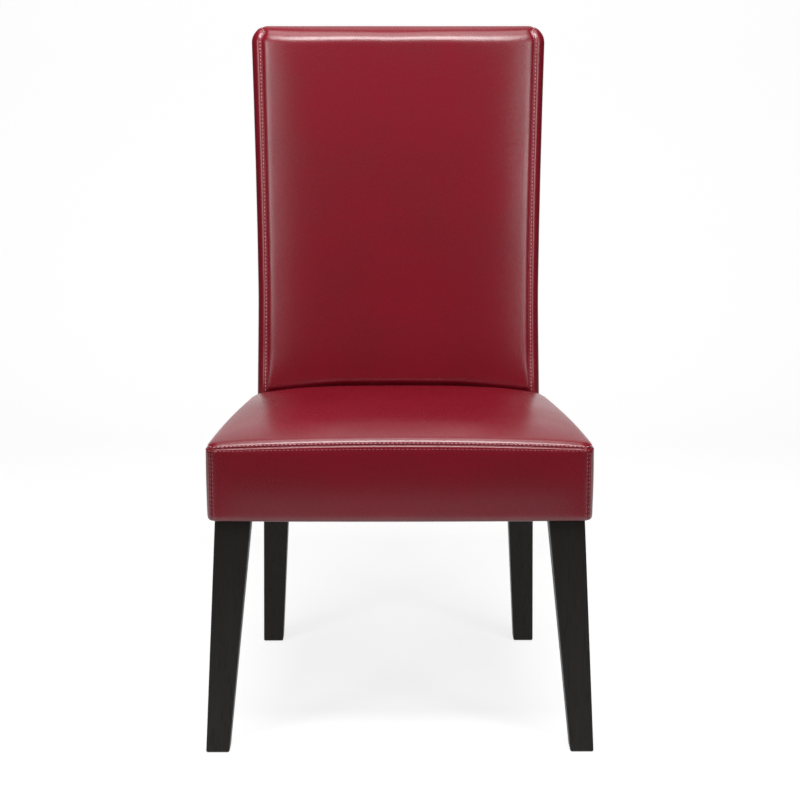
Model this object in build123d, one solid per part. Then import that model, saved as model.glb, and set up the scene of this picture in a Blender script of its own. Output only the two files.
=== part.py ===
from build123d import *
import math
import os

# Upholstered dining chair: a doweled hardwood frame, webbing, foam and a sewn leather cover.
# Sizes are in millimetres. Until the end, y runs from the front of the seat cover (0) to the rear,
# x runs across from the middle and z runs up from the floor.

# Seat cover, outside
seat_front_width = 518.0
seat_rear_width = 436.0
seat_depth = 432.0
seat_front_bow = 4.0
seat_side_draw = 3.0
seat_corner_radius = 18.0
seat_edge_radius = 12.0
hem_height = 328.0
hem_radius = 5.0
hem_return = 24.0
seam_height = 427.0
crown_height = 446.0
crown_from_front = 180.0
crown_radius_along = 2740.0
crown_radius_across = 4500.0
crown_turn = 24.0
corner_seam_inset = 8.0

# Back cover, outside
back_top_height = 974.0
back_top_width = 452.0
back_waist_width = 434.0
back_waist_height = 555.0
back_depth = 65.0
back_lean = 77.0
back_taper = 9.0
back_bend_softness = 60.0
back_crown = 10.0
back_rear_crown = 3.0
back_top_radius = 24.0
back_front_radius = 14.0
back_rear_radius = 10.0
back_seam_inset = 15.0
back_body_sections = 8
back_round_angles = (0, 25, 50, 70)

# Leather, soft layers and their clearances
leather = 1.3
soft_gap = 0.3
seam_gap = 0.4
front_layer = 10.0
side_layer = 7.0
front_corner_layer = 11.5
back_front_layer = 14.0
back_top_layer = 29.0
hem_layer = 2.0
dust_cloth = 0.8
dust_margin = 13.0
dust_notch = 1.0

# Front legs
front_leg_width = 48.5
front_leg_depth = 45.0
front_foot_width = 32.0
front_foot_depth = 32.0
front_leg_splay = 18.0
leg_edge_radius = 2.5
foot_chamfer = 1.5

# Rear legs, which run on up as the posts of the back
rear_leg_width = 42.5
rear_leg_depth = 42.0
rear_foot_width = 31.0
rear_foot_depth = 32.0
rear_leg_rake = 40.0
rear_leg_splay = 7.0
rear_knee_drop = 18.0
rear_knee_radius = 200.0
rear_bend_radius = 400.0
post_top_depth = 30.0

# Rails, blocks and boards
rail_height = 58.0
rail_thickness = 24.0
rear_rail_setback = 10.0
back_rail_height = 56.0
back_rail_thickness = 22.0
back_low_rail_rise = 95.0
block_reach = 58.0
block_height = 40.0
board_thickness = 3.0
board_gap = 0.8

# Dowels and screws
dowel_radius = 4.0
dowel_length = 32.0
dowel_spacing = 28.0
dowel_fit = 0.1
dowel_glue_space = 1.0
screw_radius = 2.0
screw_length = 34.0
screw_head_radius = 4.0
screw_head_height = 2.5
screw_bite = 16.0
screw_stagger = 9.0
screw_fit = 0.15

# Webbing
strap_width = 50.0
strap_thickness = 1.8
strap_lift_gap = 0.2
strap_ramp = 16.0
strap_landing = 3.0
seat_straps_along = 4
seat_straps_across = 3
back_straps_up = 3
back_straps_across = 4

# Nail-on glides
glide_radius = 11.0
glide_height = 1.2
glide_edge = 0.4
nail_radius = 1.2
nail_length = 16.0
nail_fit = 0.1

# Heights and lines that follow from the sizes above
seat_taper = (seat_front_width - seat_rear_width) / 2 / seat_depth
wood_taper = seat_taper - (front_corner_layer - side_layer) / seat_depth
rail_bottom = hem_height + hem_layer
rail_top = rail_bottom + rail_height
strap_stack = 2 * strap_thickness + 2 * strap_lift_gap
deck_height = rail_top + strap_stack
back_knee_height = rail_top + 40.0
front_lean = back_lean / (back_top_height - back_knee_height)
rear_lean = (back_lean - back_taper) / (back_top_height - back_knee_height)
post_front = seat_depth + back_front_layer
post_rear = post_front + rear_leg_depth
post_top = back_top_height - back_top_layer
post_knee_high = back_knee_height + 6.0
post_top_front = post_front + front_lean * (post_top - post_knee_high)
far = 2 * back_top_height


def seat_half(y):
    # Half the width of the seat cover at a distance from its front
    return seat_front_width / 2 - seat_taper * y


def wood_half(y):
    # Half the width of the frame, inside side padding that thins towards the rear
    return seat_front_width / 2 - front_corner_layer - wood_taper * y


post_outer = wood_half(post_front)
post_inner = post_outer - rear_leg_width


def back_half(z):
    # The sides of the back draw in between the seat and the top corners
    share = (z - back_waist_height) / (back_top_height - back_waist_height)
    return back_waist_width / 2 + (back_top_width - back_waist_width) / 2 * share**2


def leaning(z, start, slope):
    # A line that stands upright by the seat and bends smoothly into the lean of the back
    above = z - back_knee_height
    return start + slope * (above + math.hypot(above, back_bend_softness)) / 2


def back_front(z):
    return leaning(z, seat_depth, front_lean)


def back_rear(z):
    return leaning(z, seat_depth + back_depth, rear_lean)


# Helpers


def polygon(*points):
    return make_face(Polyline(*points, close=True))


def side_region(*points):
    # A region drawn in the side view (y, z), carried right across the chair
    return extrude(Plane.YZ * polygon(*points), amount=back_top_width, both=True)


def above(z):
    return Pos(0, 0, z) * Box(far, far, far, align=(Align.CENTER, Align.CENTER, Align.MIN))


def below(z):
    return Pos(0, 0, z) * Box(far, far, far, align=(Align.CENTER, Align.CENTER, Align.MAX))


def slab(half_x, y0, y1, z0, z1):
    return Pos(0, (y0 + y1) / 2, (z0 + z1) / 2) * Box(2 * half_x, y1 - y0, z1 - z0)


def peg(radius, length, at, along):
    # A round pin that starts at a point and runs along a direction
    plane = Plane(origin=at, z_dir=along)
    return plane * Cylinder(radius, length, align=(Align.CENTER, Align.CENTER, Align.MIN))


def right_half(shape):
    return shape & Pos(far / 2, 0, 0) * Box(far, far, far)


def group(pieces):
    return Compound([solid for piece in pieces for solid in piece.solids()])


def mirrored(shape):
    return mirror(shape, about=Plane.YZ)


# Soft forms: the outside of the seat and of the back, drawn in by an inset for each layer under it


def seat_plan():
    front_half = seat_half(seat_front_bow)
    end = seat_depth + back_depth / 2
    end_half = seat_half(end)
    middle = (seat_front_bow + end) / 2
    middle_half = seat_half(middle) - seat_side_draw
    front = ThreePointArc((-front_half, seat_front_bow), (0, 0), (front_half, seat_front_bow))
    right = ThreePointArc((front_half, seat_front_bow), (middle_half, middle), (end_half, end))
    rear = Line((end_half, end), (-end_half, end))
    left = ThreePointArc((-end_half, end), (-middle_half, middle), (-front_half, seat_front_bow))
    plan = make_face([front, right, rear, left])
    return fillet(plan.vertices().group_by(Axis.Y)[0], seat_corner_radius)


def crown_block(inset):
    # A solid whose top is crowned both ways: an arc across, turned about a low cross axis
    axis_height = crown_height - crown_radius_along
    reach = seat_front_width
    top = crown_height - inset
    radius = crown_radius_across - inset
    edge = top - radius + math.sqrt(radius**2 - reach**2)
    low = hem_height / 2
    arc = ThreePointArc((-reach, edge), (0, top), (reach, edge))
    walls = Polyline((reach, edge), (reach, low), (-reach, low), (-reach, edge))
    profile = Plane.XZ.offset(-crown_from_front) * make_face([arc, walls])
    axis = Axis((0, crown_from_front, axis_height), (1, 0, 0))
    return revolve(profile, axis, crown_turn).rotate(axis, -crown_turn / 2)


def seat_form(inset):
    bottom = hem_height + inset
    walls = extrude(Pos(0, 0, bottom) * offset(seat_plan(), -inset), crown_height)
    form = walls & crown_block(inset)
    rear_line = seat_depth
    for face_index, radius in ((-1, seat_edge_radius), (0, hem_radius)):
        rim = form.faces().sort_by(Axis.Z)[face_index].edges()
        form = fillet(rim.filter_by(lambda edge: edge.center().Y < rear_line), radius - inset)
    return form


def back_section(z, inset, tuck):
    half = back_half(z) - inset - tuck
    front = back_front(z) + inset + tuck
    rear = back_rear(z) - inset - tuck
    front_arc = ThreePointArc((-half, front), (0, front - back_crown), (half, front))
    rear_arc = ThreePointArc((half, rear), (0, rear + back_rear_crown), (-half, rear))
    sides = (Line((half, front), (half, rear)), Line((-half, rear), (-half, front)))
    face = make_face([front_arc, sides[0], rear_arc, sides[1]])
    corners = face.vertices().sort_by(Axis.Y)
    face = fillet(corners[:2], back_front_radius - inset)
    corners = face.vertices().sort_by(Axis.Y)
    face = fillet(corners[-2:], back_rear_radius - inset)
    return Pos(0, 0, z) * face


def back_form(inset):
    # Level sections from the hem to the shoulder, then smaller ones round the top edge
    radius = back_top_radius - inset
    shoulder = back_top_height - back_top_radius
    start = hem_height + inset
    step = (shoulder - start) / back_body_sections
    sections = [back_section(start + step * n, inset, 0) for n in range(back_body_sections)]
    for angle in back_round_angles:
        rise = radius * math.sin(math.radians(angle))
        tuck = radius * (1 - math.cos(math.radians(angle)))
        sections.append(back_section(shoulder + rise, inset, tuck))
    return loft(sections)


# Frame


def front_leg_plan(outer, width, depth):
    corners = polygon(
        (outer, front_layer),
        (outer - width, front_layer),
        (outer - width, front_layer + depth),
        (outer - wood_taper * depth, front_layer + depth),
    )
    return fillet(corners.vertices(), leg_edge_radius)


def front_leg():
    outer = wood_half(front_layer)
    top = front_leg_plan(outer, front_leg_width, front_leg_depth)
    foot = front_leg_plan(outer + front_leg_splay, front_foot_width, front_foot_depth)
    taper = loft([Pos(0, 0, glide_height) * foot, Pos(0, 0, hem_height) * top])
    taper = chamfer(taper.faces().sort_by(Axis.Z)[0].edges(), foot_chamfer)
    return taper + extrude(Pos(0, 0, hem_height) * top, rail_top - hem_height)


def post_line(foot, seat, top):
    # One edge of the rear leg in the side view: raked foot, upright at the seat, leaning post
    knee_low = hem_height - rear_knee_drop
    return FilletPolyline(
        (foot, glide_height),
        (seat, knee_low),
        (seat, post_knee_high),
        (top, post_top),
        radius=[rear_knee_radius, rear_bend_radius],
    )


def rear_leg():
    foot_front = post_front + rear_leg_rake
    foot_rear = foot_front + rear_foot_depth
    top_rear = post_top_front + post_top_depth
    front = post_line(foot_front, post_front, post_top_front)
    rear = post_line(foot_rear, post_rear, top_rear)
    side = make_face([front, Line(front @ 1, rear @ 1), rear, Line(rear @ 0, front @ 0)])
    foot_outer = post_outer + rear_leg_splay
    front_view = polygon(
        (foot_outer, glide_height),
        (post_outer, hem_height),
        (post_outer, post_top),
        (post_inner, post_top),
        (post_inner, hem_height),
        (foot_outer - rear_foot_width, glide_height),
    )
    leg = extrude(Plane.YZ * side, amount=far, both=True) & extrude(Plane.XZ * front_view, far, both=True)
    # The show wood below the hem has eased edges; the post inside the cover stays square
    show = leg & below(hem_height)
    long_edges = show.edges().filter_by(lambda edge: edge.bounding_box().size.Z > leg_edge_radius)
    show = fillet(long_edges, leg_edge_radius)
    show = chamfer(show.faces().sort_by(Axis.Z)[0].edges(), foot_chamfer)
    return show + (leg & above(hem_height))


front_leg_rear = front_layer + front_leg_depth
front_leg_inner = wood_half(front_layer) - front_leg_width
rail_middle = rail_bottom + rail_height / 2
rear_rail_front = post_front + rear_rail_setback
side_rail_inset = rail_thickness * math.sqrt(1 + wood_taper**2)


def side_rail_inner(y):
    return wood_half(y) - side_rail_inset


def side_rail():
    plan = polygon(
        (wood_half(front_leg_rear), front_leg_rear),
        (wood_half(post_front), post_front),
        (side_rail_inner(post_front), post_front),
        (side_rail_inner(front_leg_rear), front_leg_rear),
    )
    return extrude(Pos(0, 0, rail_bottom) * plan, rail_height)


# The plane of the back's front frame face, x across, y up the lean and z towards the sitter
post_slope = math.atan2(post_top_front - post_front, post_top - post_knee_high)
back_plane = Plane(
    origin=(0, post_front, post_knee_high),
    x_dir=(1, 0, 0),
    z_dir=(0, -math.cos(post_slope), math.sin(post_slope)),
)
post_run = (post_top - post_knee_high) / math.cos(post_slope)
crest_rail_middle = post_run - back_rail_height / 2
low_rail_middle = back_low_rail_rise


def back_rail(middle):
    rail = Box(2 * post_inner, back_rail_height, back_rail_thickness)
    return back_plane * (Pos(0, middle, -back_rail_thickness / 2) * rail)


def corner_block_front():
    far_along = front_leg_rear + block_reach
    plan = polygon(
        (front_leg_inner - block_reach, front_layer + rail_thickness),
        (front_leg_inner, front_layer + rail_thickness),
        (front_leg_inner, front_leg_rear),
        (side_rail_inner(front_leg_rear), front_leg_rear),
        (side_rail_inner(far_along), far_along),
    )
    return extrude(Pos(0, 0, rail_middle - block_height / 2) * plan, block_height)


def corner_block_rear():
    near_along = post_front - block_reach
    plan = polygon(
        (side_rail_inner(near_along), near_along),
        (side_rail_inner(post_front), post_front),
        (post_inner, post_front),
        (post_inner, rear_rail_front),
        (post_inner - block_reach, rear_rail_front),
    )
    return extrude(Pos(0, 0, rail_middle - block_height / 2) * plan, block_height)


# Dowels: each joint is a point on the seam between two pieces, a direction across it and a spread
side_dowel_front = side_rail_inner(front_leg_rear) + rail_thickness / 2
side_dowel_rear = side_rail_inner(post_front) + rail_thickness / 2
rear_rail_middle = rear_rail_front + rail_thickness / 2
upright = (0, 0, 1)
up_lean = tuple(back_plane.y_dir)


def back_rail_seat(middle):
    return tuple(back_plane.from_local_coords(Vector(post_inner, middle, -back_rail_thickness / 2)))


dowel_joints = {
    "front_rail": ((front_leg_inner, front_layer + rail_thickness / 2, rail_middle), (1, 0, 0), upright),
    "side_rail_front": ((side_dowel_front, front_leg_rear, rail_middle), (0, 1, 0), upright),
    "side_rail_rear": ((side_dowel_rear, post_front, rail_middle), (0, 1, 0), upright),
    "rear_rail": ((post_inner, rear_rail_middle, rail_middle), (1, 0, 0), upright),
    "crest_rail": (back_rail_seat(crest_rail_middle), (1, 0, 0), up_lean),
    "low_back_rail": (back_rail_seat(low_rail_middle), (1, 0, 0), up_lean),
}


def dowel_pair(joint, fit, extra):
    at, along, spread = (Vector(*value) for value in dowel_joints[joint])
    start = at - along * (dowel_length / 2 + extra)
    shifts = (spread * (-dowel_spacing / 2), spread * (dowel_spacing / 2))
    return [peg(dowel_radius + fit, dowel_length + 2 * extra, start + shift, along) for shift in shifts]


def dowel_holes(*joints):
    return [hole for joint in joints for hole in dowel_pair(joint, dowel_fit, dowel_glue_space)]


# Screws hold the corner blocks: one into each rail that a block touches
block_front_face = front_layer + rail_thickness
front_screw_y = front_leg_rear + block_reach / 3
rear_screw_y = post_front - block_reach / 3
screw_high = rail_middle + screw_stagger
screw_low = rail_middle - screw_stagger
screw_places = {
    "front_to_front": ((front_leg_inner - block_reach / 3, block_front_face, screw_high), (0, -1, 0)),
    "front_to_side": ((side_rail_inner(front_screw_y), front_screw_y, screw_low), (1, 0, 0)),
    "rear_to_side": ((side_rail_inner(rear_screw_y), rear_screw_y, screw_low), (1, 0, 0)),
    "rear_to_rear": ((post_inner - block_reach / 3, rear_rail_front, screw_high), (0, 1, 0)),
}


def block_screw(place, fit):
    # A countersunk screw stands for its thread with a plain shank; fit widens it into its hole
    at, along = (Vector(*value) for value in screw_places[place])
    head = at - along * (screw_length - screw_bite)
    shank = peg(screw_radius + fit, screw_length + fit, head, along)
    cone = Cone(screw_head_radius + fit, screw_radius + fit, screw_head_height,
                align=(Align.CENTER, Align.CENTER, Align.MIN))
    return shank + Plane(origin=head, z_dir=along) * cone


def screw_hole(place):
    at, along = (Vector(*value) for value in screw_places[place])
    head = at - along * (screw_length - screw_bite)
    return block_screw(place, screw_fit) + peg(screw_head_radius + screw_fit, block_reach, head, -along)


# Webbing: flat straps that pass over and under each other


def strap(length, humps):
    # A strap along x that lies on z = 0 and climbs over the straps that it crosses at the humps
    lift = strap_thickness + strap_lift_gap
    half_top = strap_width / 2 + strap_landing
    path = [(-length / 2, 0)]
    for middle in humps:
        path.append((middle - half_top - strap_ramp, 0))
        path.append((middle - half_top, lift))
        path.append((middle + half_top, lift))
        path.append((middle + half_top + strap_ramp, 0))
    path.append((length / 2, 0))
    upper = [(x, z + strap_thickness) for x, z in reversed(path)]
    profile = Plane.XZ * polygon(*path, *upper)
    return extrude(profile, strap_width / 2, both=True)


def spread(count, start, end):
    step = (end - start) / count
    return [start + step * (n + 0.5) for n in range(count)]


def seat_webbing():
    start = front_layer + strap_landing
    end = rear_rail_front + rail_thickness - strap_landing
    middle = (start + end) / 2
    columns = spread(seat_straps_along, -post_inner, post_inner)
    rows = spread(seat_straps_across, front_leg_rear, post_front)
    straps = []
    for i, x in enumerate(columns):
        humps = [y - middle for j, y in enumerate(rows) if (i + j) % 2 == 0]
        straps.append(Pos(x, middle, rail_top) * (Rot(0, 0, 90) * strap(end - start, humps)))
    for j, y in enumerate(rows):
        humps = [x for i, x in enumerate(columns) if (i + j) % 2 == 1]
        length = 2 * (wood_half(y + strap_width / 2) - strap_landing)
        straps.append(Pos(0, y, rail_top) * strap(length, humps))
    return straps


def back_webbing():
    start = low_rail_middle - back_rail_height / 2 + strap_landing
    end = post_run - strap_landing
    middle = (start + end) / 2
    columns = spread(back_straps_up, -post_inner, post_inner)
    rows = spread(back_straps_across, start + back_rail_height, end - back_rail_height)
    straps = []
    for i, x in enumerate(columns):
        humps = [y - middle for j, y in enumerate(rows) if (i + j) % 2 == 0]
        straps.append(Pos(x, middle, 0) * (Rot(0, 0, 90) * strap(end - start, humps)))
    for j, y in enumerate(rows):
        humps = [x for i, x in enumerate(columns) if (i + j) % 2 == 1]
        straps.append(Pos(0, y, 0) * strap(2 * (post_outer - strap_landing), humps))
    return [back_plane * piece for piece in straps]


# Soft layers over the frame


def frame_room(bottom, top):
    # The room that the seat frame takes up, with a little clearance
    start = front_layer - soft_gap
    plan = polygon(
        (wood_half(front_layer) + soft_gap, start),
        (wood_half(post_front) + soft_gap, post_front),
        (-wood_half(post_front) - soft_gap, post_front),
        (-wood_half(front_layer) - soft_gap, start),
    )
    return extrude(Pos(0, 0, bottom) * plan, top - bottom)


def seat_soft_parts():
    back_clear = back_form(-soft_gap)
    fill = seat_form(leather + soft_gap) - back_clear
    foam = fill & above(deck_height + soft_gap)
    skirt = (fill & below(deck_height)) & above(rail_bottom)
    skirt = skirt - frame_room(hem_height, crown_height)
    split = front_layer - soft_gap
    front = skirt & slab(far / 2, -far, split - seam_gap, 0, far)
    side = right_half(skirt & slab(far / 2, split, far, 0, far))
    return {
        "seat_foam": foam,
        "seat_front_padding": front,
        "seat_side_padding_right": side,
        "seat_side_padding_left": mirrored(side),
    }


def post_region(front_shift, rear_shift, bottom, top):
    # The side view between a line along the posts' front and one along their rear
    rise = top - post_knee_high
    rear_slope = (post_top_front + post_top_depth - post_rear) / (post_top - post_knee_high)
    return side_region(
        (post_front + front_shift, bottom),
        (post_front + front_shift, post_knee_high),
        (post_front + front_shift + math.tan(post_slope) * rise, top),
        (post_rear + rear_shift + rear_slope * rise, top),
        (post_rear + rear_shift, post_knee_high),
        (post_rear + rear_shift, bottom),
    )


def back_soft_parts():
    fill = back_form(leather + soft_gap) & above(rail_bottom)
    ceiling = back_top_height + back_top_layer
    web = strap_stack + soft_gap
    board = board_thickness + board_gap + soft_gap
    front = (fill - post_region(-web, far, 0, ceiling)) & above(deck_height + soft_gap)
    rear = fill - post_region(-far, board + board_gap, 0, ceiling)
    core = fill & post_region(-web + soft_gap, board, 0, ceiling)
    side = right_half(core - slab(post_outer + soft_gap, 0, far, 0, far)) & below(post_top)
    side = side - frame_room(hem_height, deck_height)
    top = core & above(post_top + soft_gap)
    return {
        "back_front_foam": front,
        "back_rear_padding": rear,
        "back_top_padding": top,
        "back_side_padding_right": side,
        "back_side_padding_left": mirrored(side),
    }


def back_board():
    # A thin board stapled to the rear of the posts, under the rear padding
    near = board_gap
    deep = board_gap + board_thickness
    top_rear = post_top_front + post_top_depth
    edges = []
    for shift in (near, deep):
        edges.append(
            FilletPolyline(
                (post_rear + shift, rail_bottom),
                (post_rear + shift, post_knee_high),
                (top_rear + shift, post_top),
                radius=rear_bend_radius,
            )
        )
    ends = (Line(edges[0] @ 1, edges[1] @ 1), Line(edges[1] @ 0, edges[0] @ 0))
    return extrude(Plane.YZ * make_face([edges[0], ends[0], edges[1], ends[1]]), post_outer, both=True)


# Leather cover, cut into its sewn panels


def leg_openings():
    # The legs' outlines at the hem, with room for the turned edge of the leather
    outer = wood_half(front_layer)
    front = offset(front_leg_plan(outer, front_leg_width, front_leg_depth), seam_gap)
    rear = Pos((post_outer + post_inner) / 2, (post_front + post_rear) / 2) * Rectangle(
        rear_leg_width + 2 * seam_gap, rear_leg_depth + 2 * seam_gap
    )
    cuts = [extrude(Pos(0, 0, hem_height - hem_layer) * plan, 2 * hem_layer) for plan in (front, rear)]
    return cuts + [mirrored(cut) for cut in cuts]


def seat_cover_parts():
    opening = extrude(Pos(0, 0, hem_height - hem_layer) * offset(seat_plan(), -hem_return), 2 * hem_layer)
    shell = seat_form(0) - seat_form(leather) - opening - back_form(-soft_gap)
    shell = shell - leg_openings()
    top = shell & above(seam_height + seam_gap / 2)
    bands = shell & below(seam_height - seam_gap / 2)
    corner = seat_half(0) - corner_seam_inset
    behind_hem = hem_return + 2 * seat_front_bow
    front = bands & slab(corner - seam_gap / 2, -far, behind_hem, 0, far)
    side = right_half(bands - slab(corner + seam_gap / 2, -far, behind_hem, 0, far))
    return {
        "seat_top_panel": top,
        "seat_front_band": front,
        "seat_side_band_right": side,
        "seat_side_band_left": mirrored(side),
    }


def seam_region(shift):
    # The front view between the two long seams of the back
    low, high = hem_height - hem_return, back_top_height + hem_return
    middle = (low + high) / 2
    right, left = (
        [(side * (back_half(z) - back_seam_inset + shift), z) for z in (low, middle, high)] for side in (1, -1)
    )
    lines = [ThreePointArc(*right), Line(right[2], left[2]), ThreePointArc(*reversed(left)), Line(left[0], right[0])]
    return extrude(Plane.XZ * make_face(lines), far, both=True)


def back_cover_parts():
    shell = back_form(0) - back_form(leather)
    bottom_half = back_half(hem_height) - hem_return
    opening = slab(bottom_half, 0, back_rear(hem_height) - hem_return, 0, hem_height + 2 * hem_layer)
    shell = shell - opening - leg_openings()
    top_split = back_rear(back_top_height) - back_top_radius
    middle = seat_depth + back_depth / 2
    behind = side_region(
        (middle, 0),
        (middle, back_knee_height),
        (top_split, back_top_height + hem_return),
        (far, back_top_height + hem_return),
        (far, 0),
    )
    centre = shell & seam_region(-seam_gap / 2)
    front = (centre - behind) & above(deck_height + soft_gap)
    rear = centre & Pos(0, seam_gap, 0) * behind
    side = right_half(shell - seam_region(seam_gap / 2)) - frame_room(rail_bottom - soft_gap, deck_height)
    return {
        "back_front_panel": front,
        "back_rear_panel": rear,
        "back_side_panel_right": side,
        "back_side_panel_left": mirrored(side),
    }


def dust_cover():
    rear_edge = back_rear(hem_height) - dust_margin
    half = back_half(hem_height) - dust_margin
    tail = Pos(0, (seat_depth + rear_edge) / 2) * Rectangle(2 * half, rear_edge - seat_depth)
    sheet = extrude(Pos(0, 0, hem_height - dust_cloth) * (offset(seat_plan(), -dust_margin) + tail), dust_cloth)
    outer = wood_half(front_layer)
    front = offset(front_leg_plan(outer, front_leg_width, front_leg_depth), dust_notch)
    rear = Pos((post_outer + post_inner) / 2, (post_front + post_rear) / 2) * Rectangle(
        rear_leg_width + 2 * dust_notch, rear_leg_depth + 2 * dust_notch
    )
    for plan in (front, rear):
        notch = extrude(Pos(0, 0, hem_height - 2 * dust_cloth) * plan, 3 * dust_cloth)
        sheet = sheet - notch - mirrored(notch)
    return sheet


def glide(x, y):
    pad = Cylinder(glide_radius, glide_height, align=(Align.CENTER, Align.CENTER, Align.MIN))
    pad = chamfer(pad.faces().sort_by(Axis.Z)[0].edges(), glide_edge)
    nail = Pos(0, 0, glide_height) * Cylinder(
        nail_radius, nail_length, align=(Align.CENTER, Align.CENTER, Align.MIN)
    )
    return Pos(x, y, 0) * (pad + nail)


def nail_hole(x, y):
    return peg(nail_radius + nail_fit, nail_length + nail_fit, (x, y, glide_height), (0, 0, 1))


def build():
    parts = {}
    foot_outer = wood_half(front_layer) + front_leg_splay
    front_foot = (foot_outer - front_foot_width / 2, front_layer + front_foot_depth / 2)
    rear_foot = (
        post_outer + rear_leg_splay - rear_foot_width / 2,
        post_front + rear_leg_rake + rear_foot_depth / 2,
    )

    leg = front_leg() - nail_hole(*front_foot)
    parts["front_leg_right"] = leg - dowel_holes("front_rail", "side_rail_front")
    leg = rear_leg() - nail_hole(*rear_foot)
    parts["rear_leg_right"] = leg - dowel_holes("side_rail_rear", "rear_rail", "crest_rail", "low_back_rail")
    parts["front_glide_right"] = glide(*front_foot)
    parts["rear_glide_right"] = glide(*rear_foot)

    rail = side_rail() - dowel_holes("side_rail_front", "side_rail_rear")
    parts["side_rail_right"] = rail - [screw_hole("front_to_side"), screw_hole("rear_to_side")]
    front_screws = [screw_hole("front_to_front"), screw_hole("front_to_side")]
    rear_screws = [screw_hole("rear_to_side"), screw_hole("rear_to_rear")]
    parts["corner_block_front_right"] = corner_block_front() - front_screws
    parts["corner_block_rear_right"] = corner_block_rear() - rear_screws
    for name in [*parts]:
        parts[name.replace("right", "left")] = mirrored(parts[name])

    cross_rails = {
        "front_rail": slab(front_leg_inner, front_layer, block_front_face, rail_bottom, rail_top),
        "rear_rail": slab(post_inner, rear_rail_front, rear_rail_front + rail_thickness, rail_bottom, rail_top),
        "crest_rail": back_rail(crest_rail_middle),
        "low_back_rail": back_rail(low_rail_middle),
    }
    rail_screws = {"front_rail": "front_to_front", "rear_rail": "rear_to_rear"}
    for name, rail in cross_rails.items():
        holes = dowel_holes(name)
        if name in rail_screws:
            holes.append(screw_hole(rail_screws[name]))
        parts[name] = rail - holes - [mirrored(hole) for hole in holes]

    dowels = [dowel for joint in dowel_joints for dowel in dowel_pair(joint, 0, 0)]
    screws = [block_screw(place, 0) for place in screw_places]
    parts["frame_dowels"] = group(dowels + [mirrored(dowel) for dowel in dowels])
    parts["corner_block_screws"] = group(screws + [mirrored(screw) for screw in screws])
    parts["seat_webbing"] = group(seat_webbing())
    parts["back_webbing"] = group(back_webbing())
    parts["back_board"] = back_board()
    parts["dust_cover"] = dust_cover()
    parts.update(seat_soft_parts())
    parts.update(back_soft_parts())
    parts.update(seat_cover_parts())
    parts.update(back_cover_parts())
    return parts


def write(parts):
    # The origin goes to the floor under the middle of the chair's box
    boxes = [shape.bounding_box() for shape in parts.values()]
    middle = (min(box.min.Y for box in boxes) + max(box.max.Y for box in boxes)) / 2
    os.makedirs("parts", exist_ok=True)
    for name, shape in parts.items():
        export_step(Pos(0, -middle, 0) * shape, f"parts/{name}.step")
    print("middle of the depth, from the front:", round(middle, 3))


write(build())
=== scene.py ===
import math

import bmesh
import bpy
from mathutils import Matrix, Vector, noise
from mathutils.bvhtree import BVHTree


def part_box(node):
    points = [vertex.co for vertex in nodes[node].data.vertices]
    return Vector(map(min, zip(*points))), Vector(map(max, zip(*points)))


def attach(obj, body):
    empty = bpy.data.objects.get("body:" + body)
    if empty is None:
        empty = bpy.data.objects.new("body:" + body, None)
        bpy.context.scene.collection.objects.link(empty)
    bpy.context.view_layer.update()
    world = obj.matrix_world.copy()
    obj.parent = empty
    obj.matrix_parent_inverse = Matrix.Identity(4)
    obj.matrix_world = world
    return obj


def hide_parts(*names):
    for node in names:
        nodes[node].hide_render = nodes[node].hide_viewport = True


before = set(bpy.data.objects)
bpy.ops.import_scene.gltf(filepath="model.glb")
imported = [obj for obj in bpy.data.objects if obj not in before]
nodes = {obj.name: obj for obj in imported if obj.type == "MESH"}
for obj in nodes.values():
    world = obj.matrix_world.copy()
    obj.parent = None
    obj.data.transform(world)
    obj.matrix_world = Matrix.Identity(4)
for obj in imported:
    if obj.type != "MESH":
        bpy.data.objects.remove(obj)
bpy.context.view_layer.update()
scene = bpy.context.scene
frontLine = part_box("seat_front_band")[0].y  # the seat cover's front, from which the depths below count
mm = 0.001
print("frame loaded:", len(nodes), "nodes, front line at", round(frontLine, 4))


# Small helpers

def smoothStep(low, high, value):
    t = min(max((value - low) / (high - low), 0.0), 1.0)
    return t * t * (3 - 2 * t)


def spaced(low, high, step):
    # evenly spread values between two lines, the ends left out
    count = max(int(round((high - low) / step)), 1)
    return [low + (high - low) * n / count for n in range(1, count)]


def lineList(fixed, step):
    # the fixed lines, with the wide gaps between them filled
    lines = sorted(set(round(value, 4) for value in fixed))
    return sorted(lines + [value for a, b in zip(lines, lines[1:]) for value in spaced(a, b, step)])


def newObject(name, bm, material):
    mesh = bpy.data.meshes.new(name)
    bm.to_mesh(mesh)
    bm.free()
    mesh.shade_smooth()
    mesh.materials.append(material)
    piece = bpy.data.objects.new(name, mesh)
    scene.collection.objects.link(piece)
    return piece


def finishPiece(piece, slotName, *replaced):
    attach(piece, "root")
    if replaced:
        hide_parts(*replaced)
    return piece


def subdivide(piece):
    modifier = piece.modifiers.new("smooth", "SUBSURF")
    modifier.levels = modifier.render_levels = 1


def thicken(piece, thickness):
    modifier = piece.modifiers.new("hide", "SOLIDIFY")
    modifier.thickness = thickness * mm
    modifier.offset = -1


# Shader groups and materials

def newGroup(name, inputs, outputs):
    group = bpy.data.node_groups.new(name, "ShaderNodeTree")
    for way, sockets in (("INPUT", inputs), ("OUTPUT", outputs)):
        for socketName, kind in sockets.items():
            group.interface.new_socket(name=socketName, in_out=way, socket_type="NodeSocket" + kind)
    return group, group.nodes.new("NodeGroupInput").outputs


def endGroup(group, **results):
    end = group.nodes.new("NodeGroupOutput")
    for socketName, result in results.items():
        group.links.new(result, end.inputs[socketName])
    return group


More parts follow.
